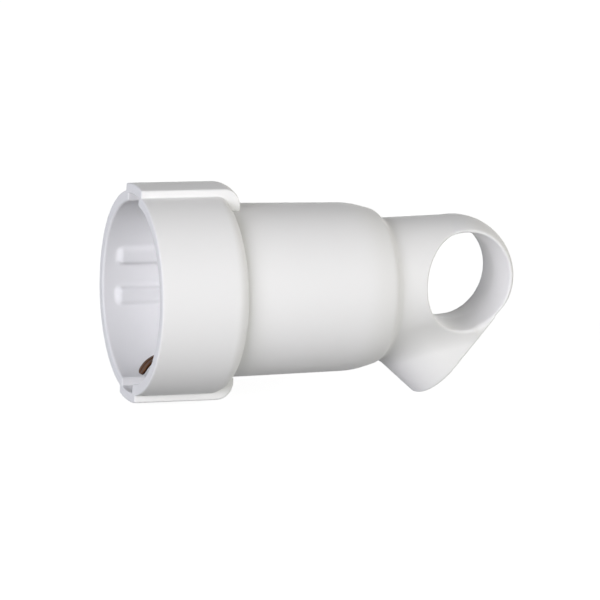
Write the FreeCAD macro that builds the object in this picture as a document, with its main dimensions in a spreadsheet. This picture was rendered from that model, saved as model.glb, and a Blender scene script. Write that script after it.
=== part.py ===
import FreeCAD, Part
import math
import os
import re

import Sketcher

# Inline socket connector: a round plug recess in a collar with two rails, a drafted barrel, and a rear cap
# with a finger ring and a slanted cable spout. The barrel's axis is X, from the mouth (X = 0) to the ring;
# Z is up and the two plug pins lie along Y. Lengths are in millimetres and angles in degrees.

os.makedirs("parts", exist_ok=True)
doc = FreeCAD.newDocument("InlineSocket")
sheet = doc.addObject("Spreadsheet::Sheet", "Sizes")

sizes = {
    # plug recess and collar
    "recessRadius": 19.5,
    "recessDepth": 17.5,
    "collarWall": 2.4,
    "floorWall": 2.4,
    "collarRearRound": 3.2,
    "mouthChamfer": 0.4,
    "rimRound": 0.3,
    "spigotLength": 6.0,
    "spigotWall": 1.2,
    "shellClearance": 0.1,
    # rails over the earth clips
    "railRadius": 23.4,
    "railWidth": 10.4,
    "railOverhang": 2.3,
    "railRearRound": 3.6,
    "clipSlotWidth": 7.0,
    "clipSlotRadius": 21.2,
    # guide ribs on the recess wall
    "ribOffset": 4.25,
    "ribWidth": 4.0,
    "ribHeight": 1.8,
    "ribSetback": 3.2,
    "ribNose": 0.9,
    # pin holes
    "pinSpacing": 19.0,
    "pinHoleRadius": 2.7,
    "pinHoleLead": 0.5,
    # barrel
    "barrelLength": 35.8,
    "barrelFrontRadius": 18.67,
    "barrelKneeRadius": 18.2,
    "barrelKneeSetback": 6.5,
    "barrelKneeRound": 19.0,
    "barrelRearRadius": 16.49,
    "barrelLipRound": 2.6,
    "barrelWall": 2.1,
    "barrelLipWall": 3.1,
    "barrelOpening": 13.0,
    # neck of the rear cap
    "neckRadius": 14.7,
    "neckLead": 3.0,
    "neckFrontLength": 4.7,
    "neckCavityRadius": 11.0,
    "neckCavityDepth": 4.3,
    # finger ring
    "ringSetback": 18.0,
    "ringHeight": 2.0,
    "ringHoleRadius": 9.85,
    "ringHoleDraft": 6.0,
    "ringCrownRadius": 13.2,
    "ringCrownRound": 15.5,
    "ringHalfWidth": 9.0,
    # cable spout
    "spoutAngle": 41.0,
    "spoutHalfWidth": 8.55,
    "spoutTopHalfWidth": 7.8,
    "spoutRise": 15.0,
    "spoutMouthX": 15.9,
    "spoutMouthZ": 17.55,
    "spoutLength": 26.0,
    "cordBoreRadius": 3.7,
    "cordBellRound": 1.2,
    "cordRelief": 1.0,
    # screw through the middle
    "screwRadius": 1.75,
    "screwClearance": 0.25,
    "screwHeadRadius": 3.3,
    "screwHeadHeight": 2.0,
    "screwHeadGap": 0.3,
    "screwLength": 37.0,
    "screwBossRadius": 5.0,
    "screwBossLength": 3.0,
    "nutWidth": 6.0,
    "nutThickness": 2.5,
    "nutBossRadius": 4.7,
    # insulating block and its cover
    "blockLength": 14.6,
    "blockClearance": 0.2,
    "coverThickness": 2.0,
    "contactBoreRadius": 4.2,
    "contactBoreDepth": 12.6,
    "smallClearance": 0.05,
    # contacts
    "contactInnerRadius": 2.5,
    "contactWall": 0.7,
    "contactBoreLength": 10.0,
    "contactLength": 12.0,
    "contactSlit": 0.6,
    "contactTailRadius": 1.6,
    "contactTailLength": 7.8,
    "springWall": 0.5,
    "springLength": 4.0,
    "springSetback": 2.0,
    "springGap": 2.0,
    # earth strap
    "strapWidth": 3.6,
    "strapThickness": 0.6,
    "clipGap": 27.2,
    "clipRadius": 6.0,
    "clipSweep": 70.0,
    "clipSetback": 8.8,
    "strapPadWidth": 10.0,
    "strapPadHeight": 24.0,
    # terminals
    "terminalWidth": 6.4,
    "terminalLength": 8.0,
    "wireBoreRadius": 1.6,
    "wireBoreDepth": 3.6,
    "earthTerminalHeight": 9.0,
    "clampThreadRadius": 1.3,
    "clampHeadRadius": 2.1,
    "clampHeadHeight": 1.7,
    "clampScrewSetback": 2.1,
    "clampBite": 0.5,
    "rivetRadius": 1.2,
    "rivetHeadRadius": 2.2,
    "rivetHeadHeight": 1.0,
    # screws of the block
    "blockScrewPlace": 8.5,
    "blockScrewRadius": 1.3,
    "blockScrewHeadRadius": 2.4,
    "blockScrewHeadHeight": 1.3,
    "blockScrewSink": 1.1,
    "blockBossRadius": 3.0,
    "blockBossLength": 6.0,
    "blockScrewTipGap": 2.0,
    # cord clamp
    "armInner": 4.0,
    "armOuter": 8.5,
    "armTop": 3.6,
    "armBottom": 9.4,
    "armReach": 8.0,
    "armSkin": 1.0,
    "barLength": 5.2,
    "barThickness": 2.4,
    "barOverhang": 0.7,
}
for row, (name, value) in enumerate(sizes.items(), start=1):
    sheet.set(f"A{row}", name)
    sheet.set(f"B{row}", str(value))
    sheet.setAlias(f"B{row}", name)
doc.recompute()

# Places along the axis, as formulas of the sizes above
collarRear = "(recessDepth + floorWall)"
barrelRear = f"({collarRear} + barrelLength)"
blockRear = f"({collarRear} + blockLength)"
coverRear = f"({blockRear} + coverThickness)"
ringX = f"({barrelRear} + ringSetback)"
handleFront = f"({barrelRear} - neckFrontLength)"
spigotOuter = "(barrelFrontRadius - barrelWall - shellClearance)"
spigotInner = f"({spigotOuter} - spigotWall)"
clipLevel = "(clipGap / 2)"
edgeMatch = 0.01


def sized(formula):
    """A formula with each size's name turned into its cell in the sheet."""
    def inSheet(word):
        return "Sizes." + word.group() if word.group() in sizes else word.group()

    return re.sub(r"[A-Za-z]\w*", inSheet, str(formula))


def bind(thing, **formulas):
    """Bind properties of a document object to formulas of the sizes; an underscore stands for a dot."""
    for name, formula in formulas.items():
        thing.setExpression(name.replace("_", "."), sized(formula))
    return thing


def place(thing, x="0", y="0", z="0"):
    return bind(thing, Placement_Base_x=x, Placement_Base_y=y, Placement_Base_z=z)


alongX = FreeCAD.Rotation(FreeCAD.Vector(0, 1, 0), 90)
alongY = FreeCAD.Rotation(FreeCAD.Vector(1, 0, 0), -90)
alongZ = FreeCAD.Rotation()


def rod(name, radius, length, x="0", y="0", z="0", turn=alongX):
    """A cylinder from a point along X, or along Y or Z where turn says so."""
    piece = doc.addObject("Part::Cylinder", name)
    piece.Placement.Rotation = turn
    bind(piece, Radius=radius, Height=length)
    return place(piece, x, y, z)


def taper(name, nearRadius, farRadius, length, x="0", y="0", z="0", turn=alongX):
    piece = doc.addObject("Part::Cone", name)
    piece.Placement.Rotation = turn
    bind(piece, Radius1=nearRadius, Radius2=farRadius, Height=length)
    return place(piece, x, y, z)


def block(name, x, y, z, lengthX, lengthY, lengthZ):
    """A box by its lowest corner and its three lengths."""
    piece = doc.addObject("Part::Box", name)
    bind(piece, Length=lengthX, Width=lengthY, Height=lengthZ)
    return place(piece, x, y, z)


def joined(name, *pieces):
    result = doc.addObject("Part::MultiFuse", name)
    result.Shapes = list(pieces)
    result.Refine = True
    return result


def without(name, base, *tools):
    result = doc.addObject("Part::Cut", name)
    result.Base = base
    result.Tool = tools[0] if len(tools) == 1 else joined(name + "Tools", *tools)
    result.Refine = True
    return result


def shared(name, *pieces):
    result = doc.addObject("Part::MultiCommon", name)
    result.Shapes = list(pieces)
    result.Refine = True
    return result


def originPlane(body, role):
    return next(feature for feature in body.Origin.OriginFeatures if feature.Role == role)


def outlineSketch(body, name, plane, corners):
    """A closed outline of straight lines in a body's origin plane, with each corner at two formulas."""
    sketch = body.newObject("Sketcher::SketchObject", name)
    sketch.AttachmentSupport = [(originPlane(body, plane), "")]
    sketch.MapMode = "FlatFace"
    count = len(corners)
    turns = [2 * math.pi * step / count for step in range(count)]
    guess = [FreeCAD.Vector(math.cos(turn), math.sin(turn), 0) for turn in turns]
    for step in range(count):
        sketch.addGeometry(Part.LineSegment(guess[step], guess[(step + 1) % count]), False)
    for step in range(count):
        sketch.addConstraint(Sketcher.Constraint("Coincident", step, 2, (step + 1) % count, 1))
    for step, (across, up) in enumerate(corners):
        measured(sketch, across, "DistanceX", -1, 1, step, 1, guess[step].x)
        measured(sketch, up, "DistanceY", -1, 1, step, 1, guess[step].y)
    return sketch


def measured(sketch, formula, *constraint):
    """Give a sketch a dimension that follows a formula of the sizes."""
    index = sketch.addConstraint(Sketcher.Constraint(*constraint))
    sketch.setExpression(f"Constraints[{index}]", sized(formula))


def turnedBody(name, corners):
    """A body turned about the X axis from corners (place along the axis, radius)."""
    body = doc.addObject("PartDesign::Body", name)
    sketch = outlineSketch(body, name + "Profile", "XZ_Plane", corners)
    turn = body.newObject("PartDesign::Revolution", name + "Turn")
    turn.Profile = sketch
    turn.ReferenceAxis = (sketch, ["H_Axis"])
    turn.Angle = 360
    return body


def paddedBody(name, plane, corners, depth):
    """A body padded evenly to both sides of an origin plane."""
    body = doc.addObject("PartDesign::Body", name)
    sketch = outlineSketch(body, name + "Profile", plane, corners)
    pad = body.newObject("PartDesign::Pad", name + "Pad")
    pad.Profile = sketch
    pad.Midplane = True
    bind(pad, Length=depth)
    return body


def edgesWhere(shape, test):
    return [f"Edge{number}" for number, edge in enumerate(shape.Edges, start=1) if test(edge)]


def isCircle(edge, radius, x):
    curve = edge.Curve
    if not isinstance(curve, Part.Circle) or abs(curve.Radius - radius) > edgeMatch:
        return False
    return abs(curve.Center.x - x) < edgeMatch


def roundedBody(body, radius, test, name, chamfer=False):
    """Add a fillet, or a chamfer, to the edges of a body that pass a test."""
    doc.recompute()
    last = body.Tip
    edges = edgesWhere(last.Shape, test)
    if not edges:
        raise ValueError("no edge to round for " + name)
    feature = body.newObject("PartDesign::Chamfer" if chamfer else "PartDesign::Fillet", name)
    feature.Base = (last, edges)
    bind(feature, **{"Size" if chamfer else "Radius": radius})
    body.Tip = feature
    return body


# Socket front: collar, recess with its floor, and the spigot, which narrows as the barrel round it does. The
# collar's rear rounding is limited by the wall between its outside and the spigot
collarRadius = "(recessRadius + collarWall)"
barrelDraft = "((barrelFrontRadius - barrelKneeRadius) / (barrelLength - barrelKneeSetback))"
collar = turnedBody("collar", [
    ("0", "recessRadius"),
    ("0", collarRadius),
    (collarRear, collarRadius),
    (collarRear, spigotOuter),
    (f"{collarRear} + spigotLength", f"{spigotOuter} - {barrelDraft} * spigotLength"),
    (f"{collarRear} + spigotLength", spigotInner),
    (collarRear, spigotInner),
    (collarRear, "0"),
    ("recessDepth", "0"),
    ("recessDepth", "recessRadius"),
])
rimOuter = sizes["recessRadius"] + sizes["collarWall"]
collarEnd = sizes["recessDepth"] + sizes["floorWall"]
roundedBody(collar, f"min(collarRearRound; 0.9 * ({collarRadius} - {spigotOuter}))",
            lambda edge: isCircle(edge, rimOuter, collarEnd), "collarRearEdge")
roundedBody(collar, "rimRound", lambda edge: isCircle(edge, rimOuter, 0), "rimEdge")
roundedBody(collar, "mouthChamfer", lambda edge: isCircle(edge, sizes["recessRadius"], 0), "mouthEdge",
            chamfer=True)

# Two rails, turned to the same centre as the collar, reach over the front of the barrel. Their rear rounding
# is limited by their height there
railLength = f"({collarRear} + railOverhang)"
railInner = "(barrelFrontRadius + shellClearance)"
railDisc = turnedBody("railDisc", [
    ("0", railInner),
    ("0", "railRadius"),
    (railLength, "railRadius"),
    (railLength, railInner),
])
railEnd = collarEnd + sizes["railOverhang"]
roundedBody(railDisc, f"min(railRearRound; 0.8 * (railRadius - {railInner}))",
            lambda edge: isCircle(edge, sizes["railRadius"], railEnd), "railRearEdge")
roundedBody(railDisc, "rimRound", lambda edge: isCircle(edge, sizes["railRadius"], 0), "railFrontEdge")
railBand = block("railBand", "-1", "-railWidth / 2", "-railRadius - 1", f"{railLength} + 2", "railWidth",
                 "2 * railRadius + 2")
railMouth = rod("railMouth", "recessRadius + mouthChamfer", f"{collarRear} - shellClearance + 1", x="-1")
rails = without("rails", shared("railStrips", railDisc, railBand), railMouth)
clipSlot = shared(
    "clipSlot",
    rod("clipSlotRound", "clipSlotRadius", "recessDepth + 1", x="-1"),
    block("clipSlotBand", "-1", "-clipSlotWidth / 2", "-railRadius", "recessDepth + 1", "clipSlotWidth",
          "2 * railRadius"))

# Guide ribs: two on each side wall, with a sloping nose
ribInner = "(sqrt(recessRadius ^ 2 - ribOffset ^ 2) - ribHeight)"
ribSides = paddedBody("ribSides", "XY_Plane", [
    ("ribSetback", ribInner + " + ribNose"),
    ("ribSetback + ribNose", ribInner),
    ("recessDepth + floorWall / 2", ribInner),
    ("recessDepth + floorWall / 2", "recessRadius + collarWall / 2"),
    ("ribSetback", "recessRadius + collarWall / 2"),
], "2 * ribOffset + ribWidth")
ribGap = block("ribGap", "0", "0", "-ribOffset + ribWidth / 2", collarRear,
               "recessRadius + collarWall", "2 * ribOffset - ribWidth")
ribPair = without("ribPair", ribSides, ribGap)
ribPairNear = doc.addObject("Part::Mirroring", "ribPairNear")
ribPairNear.Source = ribPair
ribPairNear.Normal = (0, 1, 0)

frontTools = [clipSlot]
floorBosses = [rod("screwBoss", "screwBossRadius", "floorWall / 2 + screwBossLength",
                   x=f"{collarRear} - floorWall / 2")]
for side, sign in (("left", "-"), ("right", "")):
    across = f"{sign}pinSpacing / 2"
    frontTools.append(rod("pinHole_" + side, "pinHoleRadius", "floorWall + 2", x="recessDepth - 1", y=across))
    frontTools.append(taper("pinLead_" + side, "pinHoleRadius + 2 * pinHoleLead", "pinHoleRadius",
                            "2 * pinHoleLead", x="recessDepth - pinHoleLead", y=across))
for level, sign in (("upper", ""), ("lower", "-")):
    spot = f"{sign}blockScrewPlace"
    floorBosses.append(rod("blockBoss_" + level, "blockBossRadius", "floorWall / 2 + blockBossLength",
                           x=f"{collarRear} - floorWall / 2", y=spot, z=spot))
    frontTools.append(rod("blockPilot_" + level, "blockScrewRadius + smallClearance", "blockBossLength + 1",
                          x=collarRear, y=spot, z=spot))
    lift = f"{clipLevel} - blockClearance"
    if level == "lower":
        lift = f"-{clipLevel} - strapThickness - blockClearance"
    frontTools.append(block("clipPass_" + level, "recessDepth - 1", "-strapWidth / 2 - blockClearance", lift,
                            "floorWall + 2", "strapWidth + 2 * blockClearance",
                            "strapThickness + 2 * blockClearance"))
frontTools.append(rod("headRecess", "screwHeadRadius + screwHeadGap", "floorWall + 1", x="recessDepth - 1"))
frontTools.append(rod("screwPass", "screwRadius + screwClearance", "floorWall + screwBossLength + 2",
                      x="recessDepth - 1"))
frontBlank = joined("frontBlank", collar, rails, ribPair, ribPairNear, *floorBosses)
socketFront = without("socket_front", frontBlank, *frontTools)

# Barrel: one drafted tube whose rear narrows to a lip that the neck closes
barrel = turnedBody("barrel_sleeve", [
    (collarRear, "barrelFrontRadius - barrelWall"),
    (collarRear, "barrelFrontRadius"),
    (f"{barrelRear} - barrelKneeSetback", "barrelKneeRadius"),
    (barrelRear, "barrelRearRadius"),
    (barrelRear, "barrelOpening"),
    (f"{barrelRear} - barrelLipWall", "barrelOpening"),
    (f"{barrelRear} - barrelLipWall", "barrelRearRadius - barrelWall"),
    (f"{barrelRear} - barrelKneeSetback", "barrelKneeRadius - barrelWall"),
])
barrelEnd = collarEnd + sizes["barrelLength"]
kneePlace = barrelEnd - sizes["barrelKneeSetback"]
roundedBody(barrel, "barrelKneeRound", lambda edge: isCircle(edge, sizes["barrelKneeRadius"], kneePlace),
            "kneeEdge")
roundedBody(barrel, "barrelLipRound", lambda edge: isCircle(edge, sizes["barrelRearRadius"], barrelEnd),
            "lipEdge")

# Rear cap: a round neck that rises a little towards a crowned ring, and a slanted spout
outerSide = block("outerSide", barrelRear, "-4 * spoutHalfWidth", "-4 * spoutHalfWidth", "8 * spoutHalfWidth",
                  "8 * spoutHalfWidth", "8 * spoutHalfWidth")
neckSpan = "sqrt(ringSetback ^ 2 + ringHeight ^ 2)"
neckTilt = math.degrees(math.atan2(sizes["ringHeight"], sizes["ringSetback"]))
neckCone = taper("neckCone", f"neckRadius + (neckRadius - ringCrownRadius) * neckLead / {neckSpan}",
                 "ringCrownRadius", f"neckLead + {neckSpan}",
                 x=f"{barrelRear} - neckLead * ringSetback / {neckSpan}",
                 z=f"-neckLead * ringHeight / {neckSpan}",
                 turn=FreeCAD.Rotation(FreeCAD.Vector(0, 1, 0), 90 - neckTilt))
bind(neckCone, Placement_Rotation_Angle="90 deg - atan(ringHeight / ringSetback)")
neck = shared("neck", neckCone, outerSide)

# The ring's outer face is crowned: an arc turned about the ring's own axis, which runs along Y
ringBlank = doc.addObject("PartDesign::Body", "ringBlank")
place(ringBlank, ringX, "0", "ringHeight")
crown = ringBlank.newObject("Sketcher::SketchObject", "crownProfile")
crown.AttachmentSupport = [(originPlane(ringBlank, "XY_Plane"), "")]
crown.MapMode = "FlatFace"
crownCentre = sizes["ringCrownRadius"] - sizes["ringCrownRound"]
crownHalf = sizes["ringHalfWidth"]
crownSweep = math.asin(crownHalf / sizes["ringCrownRound"])
crownEdge = crownCentre + sizes["ringCrownRound"] * math.cos(crownSweep)
crown.addGeometry(Part.ArcOfCircle(
    Part.Circle(FreeCAD.Vector(crownCentre, 0, 0), FreeCAD.Vector(0, 0, 1), sizes["ringCrownRound"]),
    -crownSweep, crownSweep), False)
crownCorners = [(crownEdge, crownHalf), (0, crownHalf), (0, -crownHalf), (crownEdge, -crownHalf)]
for start, end in zip(crownCorners, crownCorners[1:]):
    crown.addGeometry(Part.LineSegment(FreeCAD.Vector(*start), FreeCAD.Vector(*end)), False)
for first, firstEnd, second, secondEnd in ((0, 2, 1, 1), (1, 2, 2, 1), (2, 2, 3, 1), (3, 2, 0, 1)):
    crown.addConstraint(Sketcher.Constraint("Coincident", first, firstEnd, second, secondEnd))
crown.addConstraint(Sketcher.Constraint("Horizontal", 1))
crown.addConstraint(Sketcher.Constraint("Horizontal", 3))
crown.addConstraint(Sketcher.Constraint("PointOnObject", 1, 2, -2))
crown.addConstraint(Sketcher.Constraint("PointOnObject", 2, 2, -2))
crown.addConstraint(Sketcher.Constraint("PointOnObject", 0, 3, -1))
measured(crown, "ringCrownRound", "Radius", 0, sizes["ringCrownRound"])
measured(crown, "ringCrownRadius - ringCrownRound", "DistanceX", -1, 1, 0, 3, crownCentre)
measured(crown, "ringHalfWidth", "DistanceY", -1, 1, 1, 2, crownHalf)
crownTurn = ringBlank.newObject("PartDesign::Revolution", "crownTurn")
crownTurn.Profile = crown
crownTurn.ReferenceAxis = (crown, ["V_Axis"])
crownTurn.Angle = 360

# The spout is a hood with a round underside, drawn in the plane of its mouth and padded back into the neck
mouthX = f"({barrelRear} + spoutMouthX)"
spoutBody = doc.addObject("PartDesign::Body", "spout")
spoutTurn = FreeCAD.Rotation(FreeCAD.Vector(0, 1, 0), 90 + sizes["spoutAngle"])
spoutBody.Placement.Rotation = spoutTurn
bind(spoutBody, Placement_Rotation_Angle="90 + spoutAngle")
place(spoutBody, mouthX, "0", "-spoutMouthZ")
hood = spoutBody.newObject("Sketcher::SketchObject", "hoodProfile")
hood.AttachmentSupport = [(originPlane(spoutBody, "XY_Plane"), "")]
hood.MapMode = "FlatFace"
hoodHalf = sizes["spoutHalfWidth"]
hoodTop = sizes["spoutTopHalfWidth"]
hoodRise = sizes["spoutRise"]
hood.addGeometry(Part.ArcOfCircle(Part.Circle(FreeCAD.Vector(0, 0, 0), FreeCAD.Vector(0, 0, 1), hoodHalf),
                                  -math.pi / 2, math.pi / 2), False)
hoodCorners = [(0, hoodHalf), (-hoodRise, hoodTop), (-hoodRise, -hoodTop), (0, -hoodHalf)]
for start, end in zip(hoodCorners, hoodCorners[1:]):
    hood.addGeometry(Part.LineSegment(FreeCAD.Vector(*start), FreeCAD.Vector(*end)), False)
for first, firstEnd, second, secondEnd in ((0, 2, 1, 1), (1, 2, 2, 1), (2, 2, 3, 1), (3, 2, 0, 1)):
    hood.addConstraint(Sketcher.Constraint("Coincident", first, firstEnd, second, secondEnd))
hood.addConstraint(Sketcher.Constraint("Coincident", 0, 3, -1, 1))
hood.addConstraint(Sketcher.Constraint("PointOnObject", 0, 1, -2))
hood.addConstraint(Sketcher.Constraint("PointOnObject", 0, 2, -2))
hood.addConstraint(Sketcher.Constraint("Symmetric", 1, 2, 2, 2, -1))
measured(hood, "spoutHalfWidth", "Radius", 0, hoodHalf)
measured(hood, "-spoutRise", "DistanceX", -1, 1, 1, 2, -hoodRise)
measured(hood, "spoutTopHalfWidth", "DistanceY", -1, 1, 1, 2, hoodTop)
hoodPad = spoutBody.newObject("PartDesign::Pad", "hoodPad")
hoodPad.Profile = hood
hoodPad.Reversed = True
bind(hoodPad, Length="spoutLength")
spout = shared("spoutOutside", spoutBody, outerSide)
spigotRadius = "(barrelOpening - shellClearance)"
spigotRod = rod("neckSpigot", spigotRadius, "neckFrontLength + neckCavityDepth", x=handleFront)
handleBlank = joined("handleBlank", neck, ringBlank, spout, spigotRod)

# The ring's hole is drafted from the middle to both faces; the spout ends in the plane of its mouth
holeReach = "(neckRadius + 1)"
holeFlare = f"(ringHoleRadius + {holeReach} * tan(ringHoleDraft))"
ringHole = turnedBody("ringHole", [
    (f"-{holeReach}", "0"),
    (f"-{holeReach}", holeFlare),
    ("0", "ringHoleRadius"),
    (holeReach, holeFlare),
    (holeReach, "0"),
])
ringHole.Placement.Rotation = FreeCAD.Rotation(FreeCAD.Vector(0, 0, 1), 90)
place(ringHole, ringX, "0", "ringHeight")
mouthCut = doc.addObject("Part::Box", "mouthCut")
mouthCut.Placement.Rotation = spoutTurn
bind(mouthCut, Length="6 * spoutHalfWidth", Width="6 * spoutHalfWidth", Height="4 * spoutHalfWidth",
     Placement_Rotation_Angle="90 + spoutAngle")
place(mouthCut, f"{mouthX} + 3 * spoutHalfWidth * sin(spoutAngle)", "-3 * spoutHalfWidth",
      "-spoutMouthZ + 3 * spoutHalfWidth * cos(spoutAngle)")
handleShape = without("handleShape", without("handleRing", handleBlank, ringHole), mouthCut)

# Inside the cap: a round cavity, the nut boss, the two arms of the cord clamp, and the slanted cord bore that
# passes under the boss
neckCavity = rod("neckCavity", "neckCavityRadius", "neckFrontLength + neckCavityDepth", x=handleFront)
cordBoreLength = "((spoutMouthX - neckCavityDepth + cordBoreRadius * sin(spoutAngle)) / cos(spoutAngle))"
spoutLine = FreeCAD.Rotation(FreeCAD.Vector(0, -1, 0), 90 - sizes["spoutAngle"])
cordBore = rod("cordBore", "cordBoreRadius", cordBoreLength, x=mouthX, z="-spoutMouthZ", turn=spoutLine)
bind(cordBore, Placement_Rotation_Angle="90 - spoutAngle")
cordBell = taper("cordBell", "cordBoreRadius + cordBellRound", "cordBoreRadius", "cordBellRound", x=mouthX,
                 z="-spoutMouthZ", turn=spoutLine)
bind(cordBell, Placement_Rotation_Angle="90 - spoutAngle")
handleShell = without("handleShell", handleShape, neckCavity)

armSpace = rod("armSpace", spigotRadius, "armReach + neckFrontLength + neckCavityDepth",
               x=f"{handleFront} - armReach")
arms = []
for side, low in (("left", "-armOuter"), ("right", "armInner")):
    arm = block("arm_" + side, f"{handleFront} - armReach", low, "-armBottom",
                "armReach + neckFrontLength + neckCavityDepth", "armOuter - armInner", "armBottom - armTop")
    arms.append(shared("armInside_" + side, arm, armSpace))
cordRelief = rod("cordReliefBore", "cordBoreRadius + cordRelief", f"{cordBoreLength} + 3 * cordRelief",
                 x=mouthX, z="-spoutMouthZ", turn=spoutLine)
bind(cordRelief, Placement_Rotation_Angle="90 - spoutAngle")
nutBoss = without("nutBoss", rod("nutBossRound", "nutBossRadius", "neckFrontLength + neckCavityDepth",
                                 x=handleFront), cordRelief)
handleParts = joined("handleParts", handleShell, nutBoss, *arms)
screwHoleDepth = (f"max(neckFrontLength + neckCavityDepth - shellClearance; "
                  f"{collarRear} + screwLength + shellClearance - {handleFront})")
handleTools = [
    cordBore,
    cordBell,
    block("nutTrap", f"{handleFront} - 1", "-nutWidth / 2 - smallClearance", "-nutWidth / 2 - smallClearance",
          "1 + shellClearance + nutThickness", "nutWidth + 2 * smallClearance",
          "nutWidth + 2 * smallClearance"),
    rod("screwEnd", "screwRadius + smallClearance", screwHoleDepth, x=handleFront),
]
armMiddle = "((armInner + armOuter) / 2)"
barFront = f"({handleFront} - armReach + barOverhang)"
barMiddle = f"({barFront} + barLength / 2)"
for side, sign in (("left", "-"), ("right", "")):
    handleTools.append(rod("armPilot_" + side, "clampThreadRadius + smallClearance",
                           "armBottom - armTop - armSkin",
                           x=barMiddle, y=f"{sign}{armMiddle}", z="-armBottom", turn=alongZ))
ringHandle = without("ring_handle", handleParts, *handleTools)

# Insulating block behind the recess floor, with a bore for each contact and notches for the earth strap. It fits
# into the spigot, and into the drafted barrel where its cover ends
barrelAtCover = f"(barrelFrontRadius - barrelWall - {barrelDraft} * (blockLength + coverThickness))"
blockRadius = f"(min({spigotInner}; {barrelAtCover}) - blockClearance)"
blockTools = []
coverTools = []
for side, sign in (("left", "-"), ("right", "")):
    across = f"{sign}pinSpacing / 2"
    blockTools.append(rod("contactBore_" + side, "contactBoreRadius", "contactBoreDepth + 1",
                          x=f"{collarRear} - 1", y=across))
    blockTools.append(rod("tailBore_" + side, "contactTailRadius + smallClearance", "blockLength + 1",
                          x=collarRear, y=across))
    coverTools.append(rod("coverTail_" + side, "contactTailRadius + smallClearance", "coverThickness + 2",
                          x=f"{blockRear} - 1", y=across))
for level, sign in (("upper", ""), ("lower", "-")):
    spot = f"{sign}blockScrewPlace"
    blockTools.append(rod("bossPocket_" + level, "blockBossRadius + smallClearance",
                          "blockBossLength + blockClearance + 1", x=f"{collarRear} - 1", y=spot, z=spot))
    blockTools.append(rod("blockPass_" + level, "blockScrewRadius + blockClearance", "blockLength",
                          x=collarRear, y=spot, z=spot))
    coverTools.append(rod("coverPass_" + level, "blockScrewRadius + blockClearance", "coverThickness + 2",
                          x=f"{blockRear} - 1", y=spot, z=spot))
    coverTools.append(rod("coverSink_" + level, "blockScrewHeadRadius + blockClearance", "blockScrewSink + 1",
                          x=f"{coverRear} - blockScrewSink", y=spot, z=spot))
    low = f"{clipLevel} - smallClearance" if sign == "" else f"-{blockRadius} - 1"
    blockTools.append(block("strapNotch_" + level, f"{collarRear} - 1", "-strapWidth / 2 - smallClearance",
                            low, "blockLength + 2", "strapWidth + 2 * smallClearance",
                            f"{blockRadius} + 1 - {clipLevel} + smallClearance"))
blockTools += [
    rod("blockBossPocket", "screwBossRadius + smallClearance", "screwBossLength + blockClearance + 1",
        x=f"{collarRear} - 1"),
    rod("blockScrewPass", "screwRadius + screwClearance", "blockLength + 2", x=f"{collarRear} - 1"),
    block("strapGroove", f"{blockRear} - strapThickness", "-strapPadWidth / 2 - smallClearance",
          "-strapPadHeight / 2 - smallClearance", "strapThickness + 1", "strapPadWidth + 2 * smallClearance",
          "strapPadHeight + 2 * smallClearance"),
    block("strapGrooveEnds", f"{blockRear} - strapThickness", "-strapWidth / 2 - smallClearance",
          f"-{blockRadius}", "strapThickness + 1", "strapWidth + 2 * smallClearance", f"2 * {blockRadius}"),
    rod("rivetHeadPocket", "rivetHeadRadius + smallClearance",
        "rivetHeadHeight + smallClearance + strapThickness",
        x=f"{blockRear} - strapThickness - rivetHeadHeight - smallClearance", z="earthTerminalHeight"),
]
blockRound = rod("blockRound", blockRadius, "blockLength", x=collarRear)
contactBase = without("contact_base", blockRound, *blockTools)

# Cover plate behind the block, with sinks for the heads of the block's screws
coverTools += [
    rod("coverScrewPass", "screwRadius + screwClearance", "coverThickness + 2", x=f"{blockRear} - 1"),
    rod("coverRivetPass", "rivetRadius + smallClearance", "coverThickness + 2", x=f"{blockRear} - 1",
        z="earthTerminalHeight"),
]
baseCover = without("base_cover", rod("coverRound", blockRadius, "coverThickness", x=blockRear), *coverTools)

# Contacts: a slit sleeve with a flared mouth and a tail, and a split spring round each sleeve
contactRadius = "(contactInnerRadius + contactWall)"
contactFront = f"({collarRear} + contactBoreDepth - contactLength)"
terminalTop = "terminalWidth / 2"
pieces = [socketFront, barrel, ringHandle, contactBase, baseCover]
for side, sign in (("left", "-"), ("right", "")):
    across = f"{sign}pinSpacing / 2"
    sleeve = joined(
        "sleeve_" + side,
        rod("sleeveRound_" + side, contactRadius, "contactLength", x=contactFront, y=across),
        rod("tail_" + side, "contactTailRadius", "contactTailLength", x=f"{contactFront} + contactLength",
            y=across))
    contact = without(
        "contact_" + side, sleeve,
        rod("sleeveBore_" + side, "contactInnerRadius", "contactBoreLength + 1", x=f"{contactFront} - 1",
            y=across),
        taper("sleeveMouth_" + side, contactRadius, "contactInnerRadius", "contactWall", x=contactFront,
              y=across),
        block("slitAcross_" + side, f"{contactFront} - 1", f"{across} - {contactRadius} - 1",
              "-contactSlit / 2", "contactBoreLength", f"2 * {contactRadius} + 2", "contactSlit"),
        block("slitUp_" + side, f"{contactFront} - 1", f"{across} - contactSlit / 2", f"-{contactRadius} - 1",
              "contactBoreLength", "contactSlit", f"2 * {contactRadius} + 2"))
    springFront = f"{contactFront} + springSetback"
    spring = without(
        "contact_spring_" + side,
        rod("springRound_" + side, f"{contactRadius} + smallClearance + springWall", "springLength",
            x=springFront, y=across),
        rod("springBore_" + side, f"{contactRadius} + smallClearance", "springLength + 2",
            x=f"{springFront} - 1", y=across),
        block("springOpening_" + side, f"{springFront} - 1", f"{across} - springGap / 2", "0",
              "springLength + 2", "springGap", f"2 * {contactRadius}"))
    pieces += [contact, spring]

# Terminals with their screws: one behind each contact, and one for earth above the middle


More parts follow.
